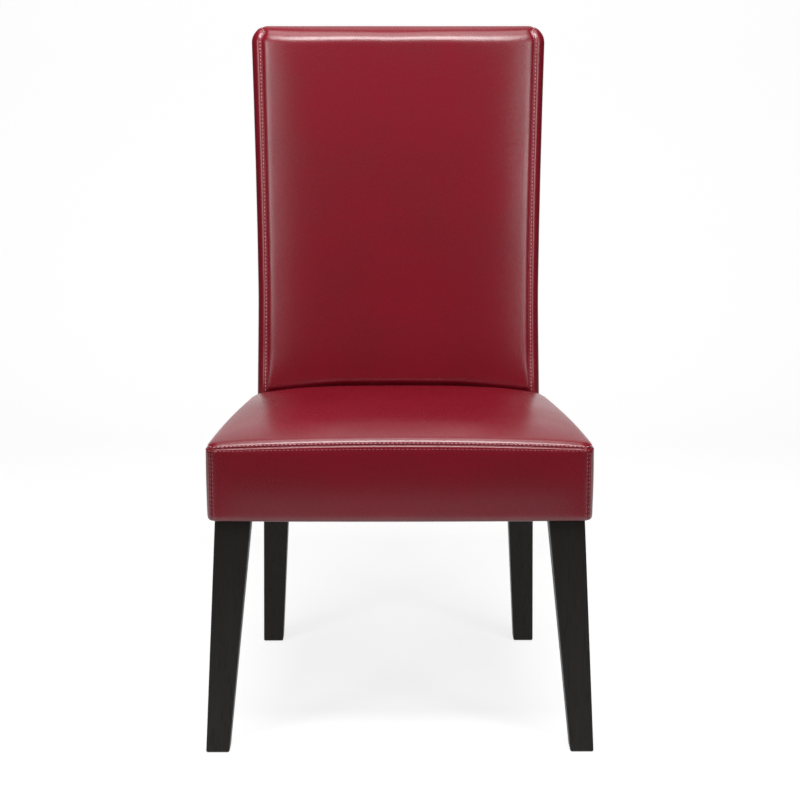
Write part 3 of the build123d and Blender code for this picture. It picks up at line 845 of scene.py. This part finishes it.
backCover = {
    "refHalf": 216.0,
    "refDepth": 64.0,
    "hem": 327.0,
    "top": 974.0,
    "waistHalf": 216.25,
    "topFlare": 9.0,
    "hemFlare": 3.9,
    "flarePower": 1.4,
    "waist": 565.0,
    "bend": 430.0,
    "bendSoft": 60.0,
    "front": 432.0,
    "rear": 497.0,
    "frontLean": 77.0,
    "rearLean": 68.0,
    "frontBow": 8.0,
    "rearBow": 3.0,
    "pillow": 4.0,
    "pillowReach": 19.0,
    "pillowUp": (420.0, 486.0),
    "topRadius": 26.0,
    "frontRadius": 14.0,
    "rearRadius": 10.0,
    "seamFromSide": 15.2,
    "tuck": 396.0,
    "lowTuck": 7.0,
    "lowTuckFade": (427.0, 438.5),
    "lowTuckAcross": (0.88, 0.98),
    "seatFall": 4.4,
    "legNotch": (166.8, 210.6, 445.0, 489.0),
    "hemReturn": 14.0,
    "hemStart": 437.0,
    "hiddenHalf": 207.0,
    "step": 11.5,
    "sideLines": (0, 2.5, 5),
    "rollLines": (0, 6.1, 11, 15.2, 19, 22.6, 26),
    "depthLines": (3, 40, 48, 54, 58, 61.5, 64),
    "creviceLines": (415, 444, 4),
    "hemLine": 2.0,
    "topLine": 30.0,
    "hemPin": (4.0, 26.0),
    "tuckPin": (20.0, 70.0),
    "seamPin": (1.0, 6.0),
    "sidePin": 0.35,
    "rowStart": 20.0,
    "sewing": {"groove": 1.7, "grooveWidth": 0.9, "rowDip": 0.4, "rows": (2.3, 2.3), "swell": 0.3},
    "creases": {"axes": (2, 1), "scale": 70.0, "seed": 9.0, "uneven": 0.15, "unevenScale": 14.0},
    "leather": 1.3,
}


def leaning(z, start, lean):
    above = z - backCover["bend"]
    slope = lean / (backCover["top"] - backCover["bend"])
    return start + slope * (above + math.hypot(above, backCover["bendSoft"])) / 2


def backHalf(z):
    c = backCover
    flare, end = (c["topFlare"], c["top"]) if z > c["waist"] else (c["hemFlare"], c["hem"])
    return c["waistHalf"] + flare * ((z - c["waist"]) / (end - c["waist"])) ** c["flarePower"]


def shapeBack(x, y, z):
    # from the sharp block to the leaning back with its rolled top, in millimetres
    c = backCover
    halfX, halfY = c["refHalf"], c["refDepth"] / 2
    y -= halfY
    inset = min(halfX - abs(x), halfY - abs(y))
    radius = c["frontRadius"] if y < 0 else c["rearRadius"]
    newInset, drop = roundEdge(inset, c["top"] - z, c["topRadius"])
    z = c["top"] - drop
    if inset < halfY - 0.5:
        x, y = roundRing(x, y, halfX, halfY, inset, newInset, radius)
    share = (y + halfY) / c["refDepth"]
    across = x / halfX
    aside = abs(across)
    front, rear = leaning(z, c["front"], c["frontLean"]), leaning(z, c["rear"], c["rearLean"])

    # low down, the front is drawn in along the seat's rear edge, which drops to its sides
    fall = seatCover["rearDrop"] * smoothStep(*seatCover["rearDropAcross"], aside)
    fall += c["seatFall"] * across ** 2
    lowTuck = (1 - smoothStep(*c["lowTuckFade"], z + fall)) * (1 - smoothStep(*c["lowTuckAcross"], aside))
    front += c["lowTuck"] * lowTuck
    y = front + share * (rear - front)
    y += (1 - across ** 2) * (c["rearBow"] * share - c["frontBow"] * (1 - share))
    fromSeam = halfX - c["seamFromSide"] - abs(x)
    pillow = c["pillow"] * smoothStep(*c["pillowUp"], z)
    y += (1 - share) * pillow * math.exp(-max(fromSeam, 0.0) / c["pillowReach"])
    return Vector((across * backHalf(z), y, z))


def makeBackCover():
    c = backCover
    seam = c["refHalf"] - c["seamFromSide"]
    halfLines = seamLines(seam, c["sewing"]) + [c["refHalf"] - inset for inset in c["sideLines"]] + [0.0]
    columns = [side * v for side in (1, -1) for v in halfLines]
    levels = [c["hem"], c["hem"] + c["hemLine"], c["tuck"], c["top"] - c["topLine"]]
    levels += [*range(*c["creviceLines"])] + [c["top"] - drop for drop in c["rollLines"]]
    block = Block(columns, c["rollLines"] + c["depthLines"], levels, c["step"])
    block.bend(shapeBack)
    block.bm.normal_update()

    def isOpen(middle, normal):
        # the underside is open inside the hem's return and round the legs, the front behind the seat
        inside = min(backHalf(c["hem"]) - abs(middle.x), c["rear"] - middle.y) > c["hemReturn"]
        leg = inNotch(middle, c["legNotch"])
        hidden = middle.z < c["tuck"] and abs(middle.x) < c["hiddenHalf"] and normal.y < -0.6
        underside = isUnderside(middle, normal, c["hem"])
        return hidden or (underside and (inside or leg or middle.y < c["hemStart"]))

    index = block.cut(isOpen)
    sideEnd, rearEnd, topEnd = block.last
    pins, seamAt = {}, {}
    for cell, n in index.items():
        x, y, z = block.flat[cell]
        onSide = cell[0] in (0, sideEnd)
        seamAt[n] = seamForm["noSeam"] if onSide else abs(x) - seam
        hemPin = 1 - smoothStep(*c["hemPin"], z - c["hem"])
        tuckPin = 1 - smoothStep(*c["tuckPin"], z - c["tuck"]) if cell[1] < rearEnd else 0.0
        seamPin = 1 - smoothStep(*c["seamPin"], abs(seamAt[n]))
        sidePin = c["sidePin"] if onSide else 0.0
        pins[n] = max(hemPin, tuckPin, seamPin, sidePin)
    piece = block.makePiece("backCover", leather)
    inflate(piece, pins)
    sewDown(piece, [(seamAt, c["sewing"])], pins, c["creases"])

    # one stitch row beside each long seam, up the front, over the top and down the rear
    rows = []
    low = block.nearest(2, c["tuck"] + c["rowStart"])
    for hand in (1, -1):
        i = block.nearest(0, hand * (seam + c["sewing"]["rows"][0]))
        cells = [(i, 0, k) for k in range(low, topEnd)] + [(i, j, topEnd) for j in range(rearEnd + 1)]
        cells += [(i, rearEnd, k) for k in range(topEnd - 1, 1, -1)]
        rows.append([index[cell] for cell in cells if cell in index])
    return piece, rows


backPiece, backRows = makeBackCover()
print("back cover:", len(backPiece.data.vertices), "points before smoothing")


# Stitches: short threads laid along the rows, seated on the finished leather

stitching = {"pitch": 5.6, "length": 3.6, "width": 1.5, "height": 1.2, "lift": 0.35, "segments": (8, 5)}


def resample(points, pitch):
    # places along a line of points, one pitch apart, each with the line's direction there
    places, carried = [], pitch / 2
    for a, b in zip(points, points[1:]):
        span = (b - a).length
        if span < 1e-9:
            continue
        while carried <= span:
            places.append((a.lerp(b, carried / span), (b - a) / span))
            carried += pitch
        carried -= span
    return places


def coverSkin(cover):
    return BVHTree.FromObject(cover, bpy.context.evaluated_depsgraph_get())


def makeStitches(name, cover, rows, material):
    bpy.context.view_layer.update()
    skin = coverSkin(cover)
    bm = bmesh.new()
    s = stitching
    around, along = s["segments"]
    size = Matrix.Diagonal((s["length"] * mm / 2, s["width"] * mm / 2, s["height"] * mm / 2, 1.0))
    lying = size @ Matrix.Rotation(math.pi / 2, 4, "Y")
    bmesh.ops.create_uvsphere(bm, u_segments=around, v_segments=along, radius=1.0, matrix=lying)
    single = bpy.data.meshes.new("oneStitch")
    bm.to_mesh(single)
    bm.clear()
    count = 0
    for row in rows:
        points = [cover.data.vertices[n].co.copy() for n in row]
        for place, ahead in resample(points, s["pitch"] * mm):
            seat, normal, _, _ = skin.find_nearest(place)
            across = normal.cross(ahead).normalized()
            turn = Matrix((across.cross(normal), across, normal)).transposed().to_4x4()
            spot = Matrix.Translation(seat + normal * s["lift"] * mm) @ turn
            single.transform(spot)
            bm.from_mesh(single)
            single.transform(spot.inverted())
            count += 1
    bpy.data.meshes.remove(single)
    print("  stitches on", cover.name, ":", count)
    return newObject(name, bm, material)


subdivide(seatPiece)
subdivide(backPiece)
# the seat's top row and the back rows take the pink thread, lightened as a painted highlight; the row below
# the seat's seam and the corner rows take the red thread, darkened as painted shade
seatThread = makeStitches("seatTopStitching", seatPiece, seatTopRows, thread)
bandThread = makeStitches("seatBandStitching", seatPiece, seatBandRows, shadedThread)
backThread = makeStitches("backStitching", backPiece, backRows, thread)
coverSkins = {"seat": coverSkin(seatPiece), "back": coverSkin(backPiece)}
thicken(seatPiece, seatCover["leather"])
thicken(backPiece, backCover["leather"])
finishPiece(seatPiece, "leather",
            "seat_top_panel", "seat_front_band", "seat_side_band_left", "seat_side_band_right")
finishPiece(backPiece, "leather",
            "back_front_panel", "back_rear_panel", "back_side_panel_left", "back_side_panel_right")
for piece in (seatThread, bandThread, backThread):
    finishPiece(piece, "leather")


# Foam and wadding inside the covers: soft copies of the solids, with eased edges

softInside = {
    "weld": 0.02,
    "voxel": (1.6, 5.0),
    "voxelsAcross": 3.0,
    "rounds": 4,
    "easing": 0.5,
    "underSkin": 2.6,
    "fills": {
        "seat_foam": 0.95,
        "back_front_foam": 0.9,
        "seat_front_padding": 0.7,
        "seat_side_padding_left": 0.7,
        "seat_side_padding_right": 0.7,
        "back_rear_padding": 0.7,
        "back_top_padding": 0.8,
        "back_side_padding_left": 0.7,
        "back_side_padding_right": 0.7,
    },
}


def makeSoftInside(node, skin, material, slotName):
    s = softInside
    bm = bmesh.new()
    bm.from_mesh(nodes[node].data)
    bmesh.ops.remove_doubles(bm, verts=bm.verts, dist=s["weld"] * mm)
    piece = newObject("soft_" + node, bm, material)
    remesh = piece.modifiers.new("cells", "REMESH")
    remesh.mode = "VOXEL"
    low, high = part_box(node)
    finest, coarsest = s["voxel"]
    remesh.voxel_size = min(coarsest * mm, max(min(high - low) / s["voxelsAcross"], finest * mm))
    depsgraph = bpy.context.evaluated_depsgraph_get()
    mesh = bpy.data.meshes.new_from_object(piece.evaluated_get(depsgraph))
    piece.modifiers.clear()
    piece.data = mesh
    bm = bmesh.new()
    bm.from_mesh(mesh)
    for _ in range(s["rounds"]):
        bmesh.ops.smooth_vert(
            bm, verts=bm.verts, factor=s["easing"], use_axis_x=True, use_axis_y=True, use_axis_z=True)
    for v in bm.verts:
        spot, normal, _, _ = skin.find_nearest(v.co)
        if (v.co - spot).dot(normal) > -s["underSkin"] * mm:
            v.co = spot - normal * s["underSkin"] * mm
    bm.to_mesh(mesh)
    bm.free()
    mesh.shade_smooth()
    finishPiece(piece, slotName, node)


for name, fill in softInside["fills"].items():
    material, slotName = (foam, "foam") if name.endswith("foam") else (wadding, "wadding")
    makeSoftInside(name, coverSkins[name.split("_")[0]], material, slotName)
print("soft layers inside:", len(softInside["fills"]))


# Dust cover: thin black cloth stapled under the frame, cut round the legs

dustSheet = {
    "margin": 13.0,
    "rearHalf": 216.5,
    "frontNotch": (197.0, 56.2),
    "rearNotch": (166.4, 444.8),
    "rearLegEnd": 489.2,
    "notchShares": (0.81, 0.813),
    "shareStep": 0.05,
    "step": 12.0,
    "bow": 3.5,
    "bowReach": 160.0,
    "sag": 3.5,
    "sagReach": 150.0,
    "gap": 0.1,
    "thickness": 0.5,
    "stapleEvery": 46.0,
    "stapleLength": 11.0,
    "stapleIn": 5.0,
    "wire": 1.0,
    "wireFlat": 0.6,
    "wireEdge": 0.2,
}


def dustHalf(y):
    half = seatHalf(y) if y <= seatCover["depth"] else dustSheet["rearHalf"]
    return half - dustSheet["margin"]


def walkRim(bm):
    # the points of the cloth's edge, in order round it
    here = min((v for v in bm.verts if v.is_boundary), key=lambda v: v.co.y)
    points, passed = [here.co.copy()], set()
    while True:
        ahead = [e for e in here.link_edges if e.is_boundary and e not in passed]
        if not ahead:
            return points
        passed.add(ahead[0])
        here = ahead[0].other_vert(here)
        points.append(here.co.copy())


def makeDustCover():
    d = dustSheet
    low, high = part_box("dust_cover")
    start, end = (low.y - frontLine) / mm, (high.y - frontLine) / mm
    frontX, frontY = d["frontNotch"]
    rearX, rearY = d["rearNotch"]
    bm = bmesh.new()
    columns = lineList([0, 1, -1] + [side * v for side in (1, -1) for v in d["notchShares"]], d["shareStep"])
    rows = lineList([start, frontY, rearY, d["rearLegEnd"], end], d["step"])
    bmesh.ops.create_grid(bm, x_segments=len(columns) - 1, y_segments=len(rows) - 1, size=1.0)
    for v in bm.verts:
        share = columns[round((v.co.x + 1) / 2 * (len(columns) - 1))]
        row = rows[round((v.co.y + 1) / 2 * (len(rows) - 1))]
        x = share * dustHalf(row)
        y = row + d["bow"] * share ** 2 * (1 - smoothStep(start, d["bowReach"], row))
        edge = min(dustHalf(row) - abs(x), y - start, end - y)
        z = high.z / mm - d["thickness"] - d["gap"] - d["sag"] * smoothStep(0, d["sagReach"], edge)
        v.co = (x, y, z)
    gone = []
    for face in bm.faces:
        middle = face.calc_center_median()
        front = abs(middle.x) > frontX and middle.y < frontY
        rear = abs(middle.x) > rearX and middle.y > rearY
        if front or rear:
            gone.append(face)
    bmesh.ops.delete(bm, geom=gone, context="FACES")
    area = sum(face.calc_area() for face in bm.faces)
    for v in bm.verts:
        v.co = v.co * mm + Vector((0, frontLine, 0))
    bmesh.ops.recalc_face_normals(bm, faces=bm.faces)
    for face in bm.faces:
        if face.normal.z > 0:
            face.normal_flip()
    rim = walkRim(bm)
    piece = newObject("dustCover", bm, dustCloth)
    return piece, area * mm * mm, rim, ((high.x - low.x), (high.y - low.y))


def makeStaples(rim):
    d = dustSheet
    bm = bmesh.new()
    up = Vector((0, 0, 1))
    places = resample(rim, d["stapleEvery"] * mm)
    wire, flat = d["wire"] * mm, d["wire"] * d["wireFlat"] * mm
    size = Matrix.Diagonal((d["stapleLength"] * mm, wire, flat, 1.0))
    middle = Vector((0, (min(p.y for p in rim) + max(p.y for p in rim)) / 2, 0))
    for place, along in places:
        inward = up.cross(along).normalized()
        if inward.dot(middle - place) < 0:
            inward.negate()
        turn = Matrix((along, up.cross(along), up)).transposed().to_4x4()
        spot = Matrix.Translation(place + inward * d["stapleIn"] * mm - up * flat)
        bmesh.ops.create_cube(bm, size=1.0, matrix=spot @ turn @ size)
    bmesh.ops.bevel(
        bm, geom=bm.edges[:], offset=d["wireEdge"] * mm, segments=1, profile=0.5, affect="EDGES", material=-1)
    print("  staples:", len(places))
    return newObject("dustStaples", bm, stapleWire)


dustPiece, dustArea, dustRim, dustSize = makeDustCover()
staples = makeStaples(dustRim)
thicken(dustPiece, dustSheet["thickness"])
finishPiece(dustPiece, "dust_cloth", "dust_cover")
finishPiece(staples, "screw_steel")
print("dust cover area:", round(dustArea, 4))


# Stage, light and camera

stageLook = {
    "floorWhite": 0.32,
    "cameraWhite": 0.83,
    "worldWhite": 0.03,
    "halfSize": 6.0,
    "wallAt": 2.6,
    "wallHeight": 5.0,
    "curve": 0.9,
    "curveSegments": 12,
    "poolSide": 1.75,
    "poolFront": 1.0,
    "poolFade": (0.75, 1.4),
    "farGrey": 0.06,
}


def makeStageMaterial():
    # white where the pool of light lies, dark grey far from it; only the lamps light the chair
    s = stageLook
    material = bpy.data.materials.new("stageWhite")
    material.use_nodes = True
    tree = material.node_tree
    tree.nodes.clear()
    out = addNode(tree, "OutputMaterial")
    matt = addNode(tree, "BsdfDiffuse")
    glow = addNode(tree, "Emission", in_1=s["cameraWhite"])
    split = addNode(tree, "SeparateXYZ")
    tree.links.new(addNode(tree, "TexCoord").outputs["Object"], split.inputs[0])
    aside = mathNode(tree, "DIVIDE", split.outputs["X"], s["poolSide"])
    ahead = mathNode(tree, "DIVIDE", mathNode(tree, "MINIMUM", split.outputs["Y"], 0.0), s["poolFront"])
    squares = mathNode(tree, "MULTIPLY_ADD", ahead, ahead, mathNode(tree, "MULTIPLY", aside, aside))
    near, far = s["poolFade"]
    fade = addNode(tree, "MapRange", interpolation_type="SMOOTHSTEP",
                   in_1=near, in_2=far, in_3=1.0, in_4=s["farGrey"])
    tree.links.new(mathNode(tree, "SQRT", squares), fade.inputs[0])
    shade = fade.outputs[0]
    tree.links.new(mathNode(tree, "MULTIPLY", shade, s["floorWhite"]), matt.inputs[0])
    tree.links.new(shade, glow.inputs[0])
    path = addNode(tree, "LightPath")
    seen = mathNode(tree, "MAXIMUM", path.outputs["Is Glossy Ray"], path.outputs["Is Transmission Ray"])
    seen = mathNode(tree, "MAXIMUM", path.outputs["Is Camera Ray"], seen)
    dark = addNode(tree, "Emission", in_0=(0, 0, 0, 1), in_1=0.0)
    pick = addNode(tree, "MixShader")
    both = addNode(tree, "AddShader")
    tree.links.new(seen, pick.inputs[0])
    tree.links.new(dark.outputs[0], pick.inputs[1])
    tree.links.new(glow.outputs[0], pick.inputs[2])
    tree.links.new(matt.outputs[0], both.inputs[0])
    tree.links.new(pick.outputs[0], both.inputs[1])
    tree.links.new(both.outputs[0], out.inputs[0])
    return material


def makeStage():
    # a floor that curves up into a rear wall
    s = stageLook
    bm = bmesh.new()
    bmesh.ops.create_grid(bm, x_segments=1, y_segments=1, size=s["halfSize"])
    for v in bm.verts:
        if v.co.y > 0:
            v.co.y = s["wallAt"]
    rear = [e for e in bm.edges if min(v.co.y for v in e.verts) > 0]
    raised = bmesh.ops.extrude_edge_only(bm, edges=rear)["geom"]
    raised = [v for v in raised if isinstance(v, bmesh.types.BMVert)]
    bmesh.ops.translate(bm, verts=raised, vec=(0, 0, s["wallHeight"]))
    bend = [e for e in bm.edges if all(v.co.y > 0 and v not in raised for v in e.verts)]
    bmesh.ops.bevel(bm, geom=bend, offset=s["curve"], segments=s["curveSegments"], profile=0.5,
                    affect="EDGES", material=-1)
    floor = newObject("stageFloor", bm, makeStageMaterial())


makeStage()

lampLook = {
    "overhead": {"place": (0.0, 0.05, 2.45), "aim": (0.0, 0.0, 0.4), "size": (1.4, 0.7), "power": 10.0},
    "left": {"place": (-1.75, -2.05, 1.6), "aim": (0.0, 0.1, 0.8), "size": (0.6, 1.6), "power": 18.0},
    "right": {"place": (1.75, -2.05, 1.6), "aim": (0.0, 0.1, 0.8), "size": (0.6, 1.6), "power": 18.0},
    "front": {"place": (0.0, -1.15, 2.75), "aim": (0.0, 0.1, 0.8), "size": (1.7, 0.75), "power": 65.0},
}
for name, look in lampLook.items():
    lamp = bpy.data.lights.new(name + "Softbox", "AREA")
    lamp.shape = "RECTANGLE"
    lamp.size, lamp.size_y = look["size"]
    lamp.energy = look["power"]
    lampObject = bpy.data.objects.new(name + "Softbox", lamp)
    lampObject.location = look["place"]
    towards = Vector(look["aim"]) - Vector(look["place"])
    lampObject.rotation_euler = towards.to_track_quat("-Z", "Y").to_euler()
    scene.collection.objects.link(lampObject)

world = bpy.data.worlds.new("studio")
scene.world = world
world.use_nodes = True
background = world.node_tree.nodes["Background"]
background.inputs["Color"].default_value = (1, 1, 1, 1)
background.inputs["Strength"].default_value = stageLook["worldWhite"]

cameraLook = {"x": -0.013, "fromFront": 2.403, "height": 0.9674, "pitch": 11.17, "yaw": -0.31, "lens": 84.28,
              "sensor": 36.0}
cameraData = bpy.data.cameras.new("camera")
cameraData.sensor_width = cameraLook["sensor"]
cameraData.lens = cameraLook["lens"]
camera = bpy.data.objects.new("camera", cameraData)
camera.location = (cameraLook["x"], frontLine - cameraLook["fromFront"], cameraLook["height"])
camera.rotation_euler = (math.radians(90 - cameraLook["pitch"]), 0, math.radians(cameraLook["yaw"]))
scene.collection.objects.link(camera)
scene.camera = camera
scene.view_settings.view_transform = "Standard"
print("stage, light and camera placed")
